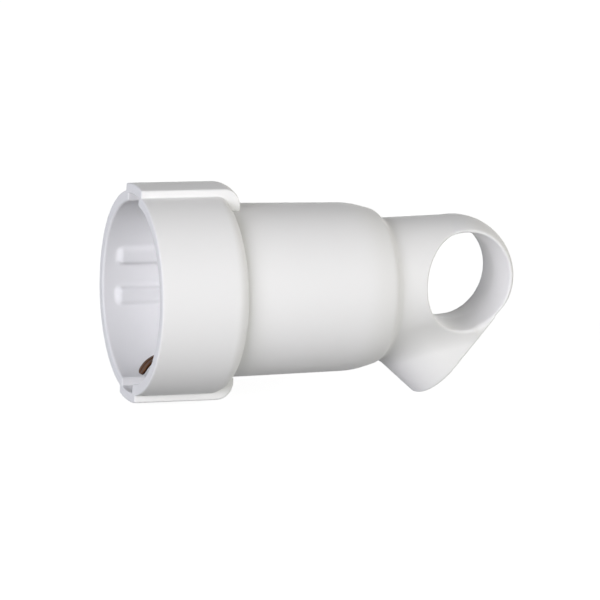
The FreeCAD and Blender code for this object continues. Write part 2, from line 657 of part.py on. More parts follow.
def terminal(side, across, up, frontBore, frontDepth):
    """A square terminal behind the cover with a front bore, a wire bore and a clamp screw from above."""
    low = f"{up} - {terminalTop}"
    front = rod("terminalSeat_" + side, frontBore, f"{frontDepth} + 1", x=f"{coverRear} - 1", y=across, z=up)
    wire = rod("wireBore_" + side, "wireBoreRadius", "wireBoreDepth + 1",
               x=f"{coverRear} + terminalLength - wireBoreDepth", y=across, z=up)
    screwX = f"{coverRear} + terminalLength - clampScrewSetback"
    thread = rod("terminalThread_" + side, "clampThreadRadius + smallClearance", f"{terminalTop} + 1",
                 x=screwX, y=across, z=up, turn=alongZ)
    body = without("terminal_" + side,
                   block("terminalBlock_" + side, coverRear, f"{across} - {terminalTop}", low,
                         "terminalLength", "terminalWidth", "terminalWidth"), front, wire, thread)
    head = rod("clampHead_" + side, "clampHeadRadius", "clampHeadHeight", x=screwX, y=across,
               z=f"{up} + {terminalTop}", turn=alongZ)
    shank = rod("clampShank_" + side, "clampThreadRadius", f"{terminalTop} - wireBoreRadius + clampBite",
                x=screwX, y=across, z=f"{up} + wireBoreRadius - clampBite", turn=alongZ)
    return [body, joined("terminal_screw_" + side, head, shank)]


pieces += terminal("left", "-pinSpacing / 2", "0", "contactTailRadius + smallClearance", "terminalLength / 2")
pieces += terminal("right", "pinSpacing / 2", "0", "contactTailRadius + smallClearance", "terminalLength / 2")
pieces += terminal("earth", "0", "earthTerminalHeight", "rivetRadius + smallClearance", "terminalLength / 2")

# Earth strap: one strip bent into a U, whose ends bow outwards into the clip slots
strapParts = [
    block("strapPad", f"{blockRear} - strapThickness", "-strapPadWidth / 2", "-strapPadHeight / 2",
          "strapThickness", "strapPadWidth", "strapPadHeight"),
    block("strapWeb", f"{blockRear} - strapThickness", "-strapWidth / 2", f"-{clipLevel} - strapThickness",
          "strapThickness", "strapWidth", "clipGap + 2 * strapThickness"),
]
for level, sign, low in (("upper", "", clipLevel), ("lower", "-", f"-{clipLevel} - strapThickness")):
    strapParts.append(block("strapArm_" + level, "clipSetback", "-strapWidth / 2", low,
                            f"{blockRear} - clipSetback", "strapWidth", "strapThickness"))
    start = -1 if level == "upper" else 1
    bow = doc.addObject("Part::Cylinder", "clipBow_" + level)
    bow.Placement.Rotation = FreeCAD.Rotation(FreeCAD.Vector(0, 0, start), FreeCAD.Vector(-1, 0, 0),
                                              FreeCAD.Vector(0, -start, 0), "ZXY")
    bind(bow, Radius="clipRadius", Height="strapWidth", Angle="clipSweep")
    place(bow, "clipSetback", f"{start} * strapWidth / 2", f"{sign}({clipLevel} + clipRadius)")
    strapParts.append(without("clip_" + level, bow, rod(
        "clipInside_" + level, "clipRadius - strapThickness", "strapWidth + 2", x="clipSetback",
        y="-strapWidth / 2 - 1", z=f"{sign}({clipLevel} + clipRadius)", turn=alongY)))
earthStrap = without(
    "earth_strap", joined("strapBlank", *strapParts),
    rod("strapScrewPass", "screwRadius + screwClearance", "strapThickness + 2",
        x=f"{blockRear} - strapThickness - 1"),
    rod("strapRivetPass", "rivetRadius + smallClearance", "strapThickness + 2",
        x=f"{blockRear} - strapThickness - 1", z="earthTerminalHeight"))
earthRivet = joined(
    "earth_rivet",
    rod("rivetHead", "rivetHeadRadius", "rivetHeadHeight",
        x=f"{blockRear} - strapThickness - rivetHeadHeight", z="earthTerminalHeight"),
    rod("rivetShank", "rivetRadius", f"strapThickness + coverThickness + terminalLength / 2",
        x=f"{blockRear} - strapThickness", z="earthTerminalHeight"))
pieces += [earthStrap, earthRivet]

# Screws: the long one through the middle with its nut, two in the block and two in the cord clamp
centreScrew = without(
    "centre_screw",
    joined("centreScrewBlank",
           rod("centreHead", "screwHeadRadius", "screwHeadHeight", x=f"{collarRear} - screwHeadHeight"),
           rod("centreShank", "screwRadius", "screwLength", x=collarRear)),
    block("centreSlot", f"{collarRear} - screwHeadHeight - 1", "-screwHeadRadius - 1", "-contactSlit / 2",
          "1 + screwHeadHeight / 2", "2 * screwHeadRadius + 2", "contactSlit"))
centreNut = without(
    "centre_nut",
    block("nutBlock", f"{handleFront} + shellClearance", "-nutWidth / 2", "-nutWidth / 2", "nutThickness",
          "nutWidth", "nutWidth"),
    rod("nutBore", "screwRadius + smallClearance", "nutThickness + 2", x=f"{handleFront} - 1"))
pieces += [centreScrew, centreNut]
for level, sign in (("upper", ""), ("lower", "-")):
    spot = f"{sign}blockScrewPlace"
    pieces.append(joined(
        "base_screw_" + level,
        rod("baseHead_" + level, "blockScrewHeadRadius", "blockScrewHeadHeight",
            x=f"{coverRear} - blockScrewSink", y=spot, z=spot),
        rod("baseShank_" + level, "blockScrewRadius",
            f"{coverRear} - blockScrewSink - {collarRear} - blockScrewTipGap",
            x=f"{collarRear} + blockScrewTipGap", y=spot, z=spot)))

# Cord clamp: a bar under the two arms, with a ridge that bites the cord and two screws from below
barTools = []
barWidth = "(armOuter + barOverhang)"
for side, sign in (("left", "-"), ("right", "")):
    barTools.append(rod("barPass_" + side, "clampThreadRadius + blockClearance", "barThickness + 2",
                        x=barMiddle, y=f"{sign}{armMiddle}", z="-armBottom - barThickness - 1", turn=alongZ))
    pieces.append(joined(
        "clamp_screw_" + side,
        rod("barHead_" + side, "clampHeadRadius", "clampHeadHeight", x=barMiddle, y=f"{sign}{armMiddle}",
            z="-armBottom - barThickness - clampHeadHeight", turn=alongZ),
        rod("barShank_" + side, "clampThreadRadius", "barThickness + (armBottom - armTop) / 2", x=barMiddle,
            y=f"{sign}{armMiddle}", z="-armBottom - barThickness", turn=alongZ)))
ridge = rod("barRidge", "barThickness / 2", "2 * armInner - 4 * smallClearance", x=barMiddle,
            y="-armInner + 2 * smallClearance", z="-armBottom", turn=alongY)
bar = joined("barBlank", block("barBlock", barFront, f"-{barWidth}", "-armBottom - barThickness", "barLength",
                               f"2 * {barWidth}", "barThickness"), ridge)
pieces.append(without("cord_clamp_bar", bar, *barTools))

doc.recompute()
failed = [thing.Name for thing in doc.Objects if "Invalid" in thing.State or "Error" in thing.State]
if failed:
    raise ValueError("not recomputed: " + ", ".join(failed))
for piece in pieces:
    piece.Label = piece.Name
    if piece.Shape.isNull() or not piece.Shape.isValid():
        raise ValueError("bad shape: " + piece.Name)
    piece.Shape.exportStep(f"parts/{piece.Name}.step")
    print(piece.Name, len(piece.Shape.Solids), "solid", round(piece.Shape.Volume, 1), "mm3")
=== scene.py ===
import math

import bpy
import numpy as np
from mathutils import Matrix, Vector


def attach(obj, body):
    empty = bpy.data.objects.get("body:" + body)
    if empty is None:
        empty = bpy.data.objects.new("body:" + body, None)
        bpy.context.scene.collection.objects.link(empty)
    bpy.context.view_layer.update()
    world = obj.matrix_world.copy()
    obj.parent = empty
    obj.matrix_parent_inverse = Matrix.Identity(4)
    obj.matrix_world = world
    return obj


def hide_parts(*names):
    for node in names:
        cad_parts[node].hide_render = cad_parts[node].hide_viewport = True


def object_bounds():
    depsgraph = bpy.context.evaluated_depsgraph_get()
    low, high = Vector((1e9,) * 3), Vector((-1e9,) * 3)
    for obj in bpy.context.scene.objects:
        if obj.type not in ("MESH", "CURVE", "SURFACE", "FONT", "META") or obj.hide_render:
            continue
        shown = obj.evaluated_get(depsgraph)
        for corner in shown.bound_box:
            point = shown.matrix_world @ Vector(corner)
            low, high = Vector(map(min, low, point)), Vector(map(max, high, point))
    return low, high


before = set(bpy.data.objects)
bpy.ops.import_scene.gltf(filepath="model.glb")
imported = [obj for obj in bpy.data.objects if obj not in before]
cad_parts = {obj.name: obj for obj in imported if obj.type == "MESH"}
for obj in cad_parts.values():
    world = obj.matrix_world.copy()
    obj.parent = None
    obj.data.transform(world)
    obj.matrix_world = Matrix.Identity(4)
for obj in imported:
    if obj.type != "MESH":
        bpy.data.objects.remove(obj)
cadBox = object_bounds()
scene = bpy.context.scene
mm = 0.001
tiny = 1e-6  # keeps a division away from zero
print("frame loaded:", len(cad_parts), "nodes")

# Camera: a long lens on the mouth's side, a little above the barrel's axis
camera = {
    "place": (-0.27197, -0.82459, 0.17201),
    "aim": (0.03913, 0.00159, -0.00305),
    "rollDegrees": 2.348,
    "lens": 250.06,
    "sensorWidth": 36,
    "farClip": 20,
}


def addObject(name, data):
    item = bpy.data.objects.new(name, data)
    scene.collection.objects.link(item)
    return item


def addCamera():
    data = bpy.data.cameras.new("camera")
    data.lens = camera["lens"]
    data.sensor_width = camera["sensorWidth"]
    data.clip_end = camera["farClip"]
    item = addObject("camera", data)
    place = Vector(camera["place"])
    look = (Vector(camera["aim"]) - place).to_track_quat("-Z", "Y").to_matrix().to_4x4()
    roll = Matrix.Rotation(math.radians(camera["rollDegrees"]), 4, "Z")
    item.matrix_world = Matrix.Translation(place) @ look @ roll
    scene.camera = item


addCamera()


# Shapes are drawn as distances in millimetres, below zero inside the material
def joinRound(a, b, radius):  # both, with a hollow fillet where they meet
    reach = np.hypot(np.maximum(radius - a, 0), np.maximum(radius - b, 0))
    return np.maximum(np.minimum(a, b), radius) - reach


def meetRound(a, b, radius):  # only what both share, with a rounded edge
    reach = np.hypot(np.maximum(radius + a, 0), np.maximum(radius + b, 0))
    return np.minimum(np.maximum(a, b), -radius) + reach


def cutRound(a, b, radius):  # what a leaves once b is cut out, with a rounded edge
    return meetRound(a, -b, radius)


def slab(value, low, high):  # the layer between two levels
    return np.maximum(low - value, value - high)


# Meshing: reaches in millimetres, and the farthest slide as a share of the grid's step
meshing = {"slides": 5, "slideReach": 0.02, "normalReach": 0.06, "farthestSlide": 0.62, "gentlestSlope": 0.05}


def meshFromShape(name, shape, sizes):
    # one point in each grid cell that the surface crosses, then slid onto the surface
    low, high, step = sizes["low"], sizes["high"], sizes["step"]
    counts = [int(math.ceil((top - bottom) / step)) + 1 for bottom, top in zip(low, high)]
    axes = [bottom + step * np.arange(count) for bottom, count in zip(low, counts)]
    inside = shape(*np.meshgrid(*axes, indexing="ij")) < 0
    corners = sum(inside[a:counts[0] - 1 + a, b:counts[1] - 1 + b, c:counts[2] - 1 + c].astype(np.int8)
                  for a in (0, 1) for b in (0, 1) for c in (0, 1))
    cells = np.argwhere((corners > 0) & (corners < 8))
    number = np.full(corners.shape, -1, dtype=np.int64)
    number[tuple(cells.T)] = np.arange(len(cells))
    faces = []
    for axis in range(3):
        u, v = (axis + 1) % 3, (axis + 2) % 3
        near, far = [slice(1, -1)] * 3, [slice(1, -1)] * 3
        near[axis], far[axis] = slice(0, -1), slice(1, None)
        start, end = inside[tuple(near)], inside[tuple(far)]
        places = np.argwhere(start != end)
        leaving = start[tuple(places.T)]
        places[:, u] += 1
        places[:, v] += 1
        ring = []
        for stepU, stepV in ((1, 1), (0, 1), (0, 0), (1, 0)):
            cell = places.copy()
            cell[:, u] -= stepU
            cell[:, v] -= stepV
            ring.append(number[tuple(cell.T)])
        quads = np.stack(ring, 1)
        quads[~leaving] = quads[~leaving][:, ::-1]
        faces.append(quads)
    faces = np.concatenate(faces)

    def slope(points, reach):
        sides = []
        for axis in range(3):
            shift = np.zeros(3)
            shift[axis] = reach
            sides.append(shape(*(points + shift).T) - shape(*(points - shift).T))
        return np.stack(sides, 1) / (2 * reach)

    middle = np.array(low) + step * (cells + 0.5)
    points = middle.copy()
    farthest = meshing["farthestSlide"] * step
    for _ in range(meshing["slides"]):
        grade = slope(points, meshing["slideReach"])
        steepness = np.maximum((grade ** 2).sum(1), meshing["gentlestSlope"])
        move = shape(*points.T)[:, None] * grade / steepness[:, None]
        points = middle + np.clip(points - move - middle, -farthest, farthest)
    normals = slope(points, meshing["normalReach"])
    normals /= np.maximum(np.linalg.norm(normals, axis=1), tiny)[:, None]

    mesh = bpy.data.meshes.new(name)
    mesh.from_pydata((points * mm).tolist(), [], faces.tolist())
    mesh.validate()
    mesh.shade_smooth()
    mesh.normals_split_custom_set_from_vertices(normals.tolist())
    print(name + ":", len(faces), "faces")
    return addObject(name, mesh)


# Lathe forms: faces round the axis and along each rounding, and the angle from which an edge stays sharp
lathe = {"around": 288, "perArc": 8, "sharpDegrees": 38}


def roundedOutline(corners):
    # corners are (x, radius, rounding); each rounding becomes a true arc
    line = []
    count = len(corners)
    for index, (x, y, rounding) in enumerate(corners):
        here = Vector((x, y))
        before = Vector(corners[index - 1][:2]) - here
        after = Vector(corners[(index + 1) % count][:2]) - here
        half = before.angle(after) / 2
        back = rounding / math.tan(half)
        start, end = here + before.normalized() * back, here + after.normalized() * back
        centre = here + (before.normalized() + after.normalized()).normalized() * rounding / math.sin(half)
        first, last = start - centre, end - centre
        sweep = first.angle_signed(last)
        for step in range(lathe["perArc"] + 1):
            turn = -sweep * step / lathe["perArc"]
            line.append(centre + Vector((first.x * math.cos(turn) - first.y * math.sin(turn),
                                         first.x * math.sin(turn) + first.y * math.cos(turn))))
    return line


def latheMesh(name, corners):
    line = roundedOutline(corners)
    around = lathe["around"]
    points, faces = [], []
    for index in range(around):
        turn = 2 * math.pi * index / around
        points += [(p.x * mm, -p.y * mm * math.sin(turn), p.y * mm * math.cos(turn)) for p in line]
    size = len(line)
    for index in range(around):
        here, there = index * size, (index + 1) % around * size
        for place in range(size):
            following = (place + 1) % size
            faces.append((here + place, here + following, there + following, there + place))
    mesh = bpy.data.meshes.new(name)
    mesh.from_pydata(points, [], faces)
    mesh.validate()
    mesh.shade_smooth()
    mesh.set_sharp_from_angle(angle=math.radians(lathe["sharpDegrees"]))
    print(name + ":", len(faces), "faces")
    return addObject(name, mesh)


# Socket front: collar, plug recess with its ribs and pin holes, and the two rails over the earth clips
socketFront = {
    "collarRadius": 21.9, "collarRear": 19.9, "collarRearRound": 3.2, "rimRound": 0.35,
    "recessRadius": 19.5, "recessDepth": 17.5, "mouthRound": 0.45,
    "railRadius": 23.4, "railHalfWidth": 5.2, "railRear": 22.2, "railRearRound": 3.6, "barrelRadius": 18.77,
    "railEdge": 0.3, "railInnerEdge": 0.2, "railFoot": 0.15, "slotEdge": 0.15,
    "slotHalfWidth": 3.5, "slotRadius": 21.2,
    "ribLevel": 4.35, "ribHalfWidth": 1.7, "ribInner": 17.7, "ribSetback": 3.3,
    "ribNose": 1.0, "ribEdge": 0.9, "ribFoot": 0.85, "ribRoot": 0.4,
    "pinSpacing": 19.0, "pinHoleRadius": 2.7, "pinLead": 0.5, "headRecess": 3.6,
    "spigotOuter": 16.47, "spigotInner": 15.27, "spigotRear": 25.9,
    "bossRadius": 5.0, "bossRear": 22.9, "blockBossRadius": 3.0, "blockBossRear": 25.9, "blockBossPlace": 8.5,
    "pilotRadius": 1.35, "screwPass": 2.0, "clipLevel": 13.4, "clipPassHeight": 1.0, "clipPassHalfWidth": 2.0,
    "clipPassPast": 0.5, "overlap": 1.0,  # the overlap sinks each rear part into the collar's floor
    "low": (-0.6, -22.6, -24.1), "high": (26.6, 22.6, 24.1), "step": 0.36,
}


def socketFrontShape(x, y, z):
    s = socketFront
    radius = np.hypot(y, z)
    side, level = np.abs(y), np.abs(z)
    collar = meetRound(radius - s["collarRadius"], x - s["collarRear"], s["collarRearRound"])
    collar = meetRound(collar, -x, s["rimRound"])
    rail = meetRound(radius - s["railRadius"], x - s["railRear"], s["railRearRound"])
    rail = meetRound(meetRound(rail, -x, s["rimRound"]), side - s["railHalfWidth"], s["railEdge"])
    rail = cutRound(rail, radius - s["barrelRadius"], s["railInnerEdge"])
    body = joinRound(collar, rail, s["railFoot"])
    body = cutRound(body, np.maximum(radius - s["recessRadius"], x - s["recessDepth"]), s["mouthRound"])
    slot = np.maximum(np.maximum(side - s["slotHalfWidth"], radius - s["slotRadius"]), x - s["recessDepth"])
    body = cutRound(body, slot, s["slotEdge"])
    rib = meetRound(np.abs(level - s["ribLevel"]) - s["ribHalfWidth"], s["ribInner"] - side, s["ribEdge"])
    rib = meetRound(rib, s["ribSetback"] - x, s["ribNose"])
    rib = np.maximum(rib, np.maximum(x - s["recessDepth"], radius - s["recessRadius"]) - s["ribRoot"])
    body = joinRound(body, rib, s["ribFoot"])
    root = s["collarRear"] - s["overlap"]
    spigot = slab(radius, s["spigotInner"], s["spigotOuter"])
    body = np.minimum(body, np.maximum(spigot, slab(x, root, s["spigotRear"])))
    body = np.minimum(body, np.maximum(radius - s["bossRadius"], slab(x, root, s["bossRear"])))
    screwPlace = np.minimum(np.hypot(y - s["blockBossPlace"], z - s["blockBossPlace"]),
                            np.hypot(y + s["blockBossPlace"], z + s["blockBossPlace"]))
    body = np.minimum(body, np.maximum(screwPlace - s["blockBossRadius"], slab(x, root, s["blockBossRear"])))
    body = np.maximum(body, -np.maximum(screwPlace - s["pilotRadius"], s["collarRear"] - x))
    pin = np.hypot(side - s["pinSpacing"] / 2, z)
    body = cutRound(body, pin - s["pinHoleRadius"], s["pinLead"])
    body = np.maximum(body, -np.maximum(radius - s["headRecess"], x - s["collarRear"]))
    body = np.maximum(body, s["screwPass"] - radius)
    clipPass = slab(level, s["clipLevel"], s["clipLevel"] + s["clipPassHeight"])
    clipPass = np.maximum(clipPass, side - s["clipPassHalfWidth"])
    clipPass = np.maximum(clipPass, x - s["collarRear"] - s["clipPassPast"])
    return np.maximum(body, -clipPass)


front = meshFromShape("socketFront", socketFrontShape, socketFront)

# Barrel: one lathe form with a slight draft and a soft rear lip
barrel = {
    "front": 19.94, "frontRadius": 18.67, "kneeX": 49.2, "kneeRadius": 18.2, "kneeRound": 19.0,
    "rear": 55.65, "rearRadius": 16.49, "lipRound": 2.6, "wall": 2.1, "opening": 13.0, "lipWall": 3.1,
    "frontEdge": 0.04, "innerEdge": 0.1, "lipFoot": 0.3, "kneeInnerRound": 4.0,
}


def barrelCorners():
    b = barrel
    return [
        (b["front"], b["frontRadius"] - b["wall"], b["innerEdge"]),
        (b["front"], b["frontRadius"], b["frontEdge"]),
        (b["kneeX"], b["kneeRadius"], b["kneeRound"]),
        (b["rear"], b["rearRadius"], b["lipRound"]),
        (b["rear"], b["opening"], b["innerEdge"]),
        (b["rear"] - b["lipWall"], b["opening"], b["innerEdge"]),
        (b["rear"] - b["lipWall"], b["rearRadius"] - b["wall"], b["lipFoot"]),
        (b["kneeX"], b["kneeRadius"] - b["wall"], b["kneeInnerRound"]),
    ]


sleeve = latheMesh("barrelSleeve", barrelCorners())

# Rear cap: a round neck that ends in a crowned finger ring, and the slanted cable spout below it
rearCap = {
    "neckFront": 55.7, "neckRadius": 14.7, "crownRadius": 13.2, "crownRound": 15.5,
    "ringX": 73.7, "ringZ": 2.0, "holeRadius": 9.85, "holeDraft": 6.0, "partingSoft": 0.8,
    "holeEdge": 0.4, "holeEdgeNear": 1.1, "nearShare": 0.7, "nearDepth": 4.0,  # softest at the ring's end
    "spoutX": 71.6, "spoutZ": -17.55, "spoutAngle": 41.0, "spoutHalfWidth": 8.55, "spoutTaper": 0.05,
    "spoutRise": 15.0, "spoutTop": -2.0, "valley": 3.2, "mouthEdge": 0.4,
    "boreRadius": 3.7, "boreEdge": 1.1, "boreLength": 18.6, "seamTuck": 0.06, "seamDepth": 0.35,
    "seamRound": 1.6, "lipCover": 1.6,
    "spigotFront": 51.0, "spigotRadius": 12.9, "cavityRadius": 11.0, "cavityRear": 60.0,
    "bossRadius": 4.7, "nutHalf": 3.05, "nutRear": 53.6, "screwRadius": 1.8,
    "armFront": 43.0, "armInner": 4.0, "armOuter": 8.5, "armTop": -3.6, "armBottom": -9.4,
    "overlap": 1.0, "innerOverlap": 0.5, "boreWall": 1.0,
    "low": (42.5, -15.6, -24.6), "high": (87.7, 15.6, 16.0), "step": 0.34,
}


def rearCapShape(x, y, z):
    c = rearCap
    side = np.abs(y)
    span = math.hypot(c["ringX"] - c["neckFront"], c["ringZ"])
    leanX, leanZ = (c["ringX"] - c["neckFront"]) / span, c["ringZ"] / span
    along = (x - c["neckFront"]) * leanX + z * leanZ
    across = np.hypot(y, z * leanX - (x - c["neckFront"]) * leanZ)
    shrink = (c["neckRadius"] - c["crownRadius"]) / span
    neck = np.maximum((across - c["neckRadius"] + shrink * along) / math.hypot(1, shrink), along - span)
    toRing = np.hypot(x - c["ringX"], z - c["ringZ"])
    crown = np.hypot(toRing + c["crownRound"] - c["crownRadius"], y) - c["crownRound"]
    turn = math.radians(c["spoutAngle"])
    out = (x - c["spoutX"]) * math.cos(turn) - (z - c["spoutZ"]) * math.sin(turn)  # past the mouth's plane
    up = (x - c["spoutX"]) * math.sin(turn) + (z - c["spoutZ"]) * math.cos(turn)  # along it, towards the ring
    hood = np.where(up < 0, np.hypot(y, up), side + c["spoutTaper"] * up) - c["spoutHalfWidth"]
    hood = np.maximum(hood, np.maximum(up - c["spoutRise"], z - c["spoutTop"]))
    body = np.minimum(joinRound(neck, hood, c["valley"]), crown)
    lip = meetRound(np.hypot(y, z) - barrel["rearRadius"], x - barrel["rear"], barrel["lipRound"])
    lip += c["seamTuck"]  # the neck's thin front edge runs just under the barrel's skin
    body = np.maximum(joinRound(body, lip, c["seamRound"]), -c["seamDepth"] - lip)
    body = np.maximum(body, c["neckFront"] - c["lipCover"] - x)
    draft = math.radians(c["holeDraft"])
    depth = np.hypot(y, c["partingSoft"]) - c["partingSoft"]
    hole = (toRing - c["holeRadius"] - depth * math.tan(draft)) * math.cos(draft)
    turned = np.clip(c["nearShare"] * (1 + (x - c["ringX"]) / c["holeRadius"]), 0, 1)
    turned = turned * np.clip(-y / c["nearDepth"], 0, 1)
    body = cutRound(body, hole, c["holeEdge"] + (c["holeEdgeNear"] - c["holeEdge"]) * turned)
    body = meetRound(body, out, c["mouthEdge"])
    spigot = slab(x, c["spigotFront"], c["neckFront"] + c["overlap"])
    spigot = np.maximum(np.hypot(y, z) - c["spigotRadius"], spigot)
    body = np.minimum(body, spigot)
    body = np.maximum(body, -np.maximum(np.hypot(y, z) - c["cavityRadius"], x - c["cavityRear"]))
    bore = np.maximum(np.hypot(y, up) - c["boreRadius"], -out - c["boreLength"])
    innerRear = c["cavityRear"] + c["innerOverlap"]
    boss = np.maximum(np.hypot(y, z) - c["bossRadius"], slab(x, c["spigotFront"], innerRear))
    boss = np.maximum(boss, c["boreRadius"] + c["boreWall"] - np.hypot(y, up))
    arm = np.maximum(slab(side, c["armInner"], c["armOuter"]), slab(z, c["armBottom"], c["armTop"]))
    arm = np.maximum(arm, slab(x, c["armFront"], innerRear))
    body = np.minimum(body, np.minimum(boss, arm))
    nut = np.maximum(np.maximum(side, np.abs(z)) - c["nutHalf"], x - c["nutRear"])
    screw = np.maximum(np.hypot(y, z) - c["screwRadius"], x - c["cavityRear"])
    body = np.maximum(body, -np.minimum(nut, screw))
    return cutRound(body, bore, c["boreEdge"])


cap = meshFromShape("rearCap", rearCapShape, rearCap)


# Earth strap: one bronze strip, whose two ends bow inwards over the plug's contact plates
earthStrap = {
    "halfWidth": 1.8, "thickness": 0.6, "level": 13.6, "rear": 34.5, "stampedEdge": 0.14,
    "bowHalfWidth": 1.5, "bowRadius": 6.0, "bowX": 8.35, "bowSweep": 71.0, "tipRound": 1.1,
    "grooveHalfWidth": 0.35, "grooveDepth": 0.16,
    "padHalfWidth": 5.0, "padHalfHeight": 12.0, "padRound": 1.0,
    "screwPass": 2.0, "rivetPass": 1.25, "rivetLevel": 9.0, "flareLength": 2.0,
    "low": (2.4, -5.5, -18.4), "high": (35.0, 5.5, 18.4), "step": 0.18,
}


def earthStrapShape(x, y, z):
    e = earthStrap
    half = e["thickness"] / 2
    side, level = np.abs(y), np.abs(z)
    middle = e["bowRadius"] - half
    centre = e["level"] + e["bowRadius"]
    bowOut = np.hypot(x - e["bowX"], centre - level) - middle
    groove = e["grooveDepth"] * np.clip(1 - (side / e["grooveHalfWidth"]) ** 2, 0, 1)
    bowDepth = np.maximum(bowOut - half + groove, -bowOut - half)
    along = np.arctan2(e["bowX"] - x, np.maximum(centre - level, tiny)) * middle
    flare = (e["bowHalfWidth"] - e["halfWidth"]) * np.clip(along / e["flareLength"], 0, 1)
    tipEnd = along - math.radians(e["bowSweep"]) * middle
    tip = meetRound(side - e["halfWidth"] - flare, tipEnd, e["tipRound"])
    bow = np.maximum(meetRound(bowDepth, tip, e["stampedEdge"]), x - e["bowX"])
    arm = meetRound(np.abs(level - e["level"] - half) - half, side - e["halfWidth"], e["stampedEdge"])
    arm = np.maximum(arm, slab(x, e["bowX"], e["rear"]))
    plate = meetRound(side - e["padHalfWidth"], level - e["padHalfHeight"], e["padRound"])
    plate = np.minimum(plate, np.maximum(side - e["halfWidth"], level - e["level"] - e["thickness"]))
    plate = np.maximum(plate, e["screwPass"] - np.hypot(y, z))
    plate = np.maximum(plate, e["rivetPass"] - np.hypot(y, z - e["rivetLevel"]))
    plate = meetRound(plate, slab(x, e["rear"] - e["thickness"], e["rear"]), e["stampedEdge"])
    return np.minimum(np.minimum(bow, arm), plate)


strap = meshFromShape("earthStrap", earthStrapShape, earthStrap)


# Materials: every colour is written as sRGB hex and turned to linear here
def linear(hexCode):
    parts = [int(hexCode[place:place + 2], 16) / 255 for place in (1, 3, 5)]
    return tuple(p / 12.92 if p <= 0.04045 else ((p + 0.055) / 1.055) ** 2.4 for p in parts) + (1.0,)


def addNode(tree, kind, settings=None, links=None):
    node = tree.nodes.new(kind)
    for name, value in (settings or {}).items():
        if isinstance(name, str) and hasattr(node, name):
            setattr(node, name, value)
        else:
            node.inputs[name].default_value = value
    for name, source in (links or {}).items():
        tree.links.new(source, node.inputs[name])
    return node


def newMaterial(name):
    material = bpy.data.materials.new(name)
    material.use_nodes = True
    tree = material.node_tree
    tree.nodes.clear()
    return material, tree


# Moulded ABS, satin: a fine spark-eroded grain that spreads the highlight, with slow changes in gloss
bodyPlastic = {"colour": "#eeeeee", "roughLow": 0.52, "roughHigh": 0.62, "grainMm": 0.35, "flowMm": 9.0,
               "bumpMm": 0.003, "ior": 1.54, "specular": 0.2}


def mouldedAbs(name, values):
    material, tree = newMaterial(name)
    place = addNode(tree, "ShaderNodeTexCoord")
    flow = addNode(tree, "ShaderNodeTexNoise", {"Scale": 1000 / values["flowMm"], "Detail": 2.0},
                   {"Vector": place.outputs["Object"]})
    rough = addNode(tree, "ShaderNodeMapRange", {"To Min": values["roughLow"], "To Max": values["roughHigh"]},
                    {"Value": flow.outputs["Fac"]})
    texture = addNode(tree, "ShaderNodeTexNoise", {"Scale": 1000 / values["grainMm"], "Detail": 3.0},
                      {"Vector": place.outputs["Object"]})
    bump = addNode(tree, "ShaderNodeBump", {"Strength": 0.25, "Distance": values["bumpMm"] * mm},
                   {"Height": texture.outputs["Fac"]})
    shader = addNode(tree, "ShaderNodeBsdfPrincipled",
                     {"Base Color": linear(values["colour"]), "IOR": values["ior"],
                      "Specular IOR Level": values["specular"]},
                     {"Roughness": rough.outputs["Result"], "Normal": bump.outputs["Normal"]})
    addNode(tree, "ShaderNodeOutputMaterial", {}, {"Surface": shader.outputs["BSDF"]})
    return material


# Pressed urea resin, matt: the inner block and its plates, a little warmer than the shells
innerPlastic = {"colour": "#e6e2d6", "roughLow": 0.55, "roughHigh": 0.7, "grainMm": 0.25, "flowMm": 5.0,
                "bumpMm": 0.006, "ior": 1.55, "specular": 0.4}

whiteAbs = mouldedAbs("mouldedWhiteAbs", bodyPlastic)
ureaResin = mouldedAbs("pressedUreaResin", innerPlastic)


# Drawn metals, with fine lines along the drawing direction and a soft tarnish, in this order:
# brass, a warm yellow deep in the pin holes; bronze, a dull brown drawn darker than its own colour: painted
# shade of the recess;
# zinc-plated steel, a pale grey with a soft sheen. The lines are coarser than real ones, so that they show.
contactBrass = {"colour": "#c9a35c", "dark": "#8f6d38", "rough": 0.32, "lineMm": 0.12, "tarnishMm": 2.5}
# the strap's two browns sit below the metal's own colour: painted shade of the recess the strip lies in
strapBronzeShaded = {"colour": "#66452f", "dark": "#2c1d14", "rough": 0.42, "lineMm": 0.15, "tarnishMm": 1.2}
screwSteel = {"colour": "#b9bbbe", "dark": "#8a8d92", "rough": 0.30, "lineMm": 0.10, "tarnishMm": 1.8}
drawing = {"stretch": 0.06, "roughBelow": 0.06, "roughAbove": 0.12, "lineDepthMm": 0.004}


def drawnMetal(name, values):
    material, tree = newMaterial(name)
    place = addNode(tree, "ShaderNodeTexCoord")
    tarnish = addNode(tree, "ShaderNodeTexNoise", {"Scale": 1000 / values["tarnishMm"], "Detail": 4.0},
                      {"Vector": place.outputs["Object"]})
    colour = addNode(tree, "ShaderNodeMix", {"data_type": "RGBA"}, {0: tarnish.outputs["Fac"]})
    colour.inputs[6].default_value = linear(values["dark"])
    colour.inputs[7].default_value = linear(values["colour"])
    drawn = addNode(tree, "ShaderNodeMapping", {"Scale": (drawing["stretch"], 1, 1)},
                    {"Vector": place.outputs["Object"]})
    lines = addNode(tree, "ShaderNodeTexNoise", {"Scale": 1000 / values["lineMm"], "Detail": 1.0},
                    {"Vector": drawn.outputs["Vector"]})
    rough = addNode(tree, "ShaderNodeMapRange",
                    {"To Min": values["rough"] - drawing["roughBelow"],
                     "To Max": values["rough"] + drawing["roughAbove"]},
                    {"Value": tarnish.outputs["Fac"]})
    bump = addNode(tree, "ShaderNodeBump", {"Strength": 0.2, "Distance": drawing["lineDepthMm"] * mm},
                   {"Height": lines.outputs["Fac"]})
    shader = addNode(tree, "ShaderNodeBsdfPrincipled", {"Metallic": 1.0},
                     {"Base Color": colour.outputs[2], "Roughness": rough.outputs["Result"],
                      "Normal": bump.outputs["Normal"]})
    addNode(tree, "ShaderNodeOutputMaterial", {}, {"Surface": shader.outputs["BSDF"]})
    return material


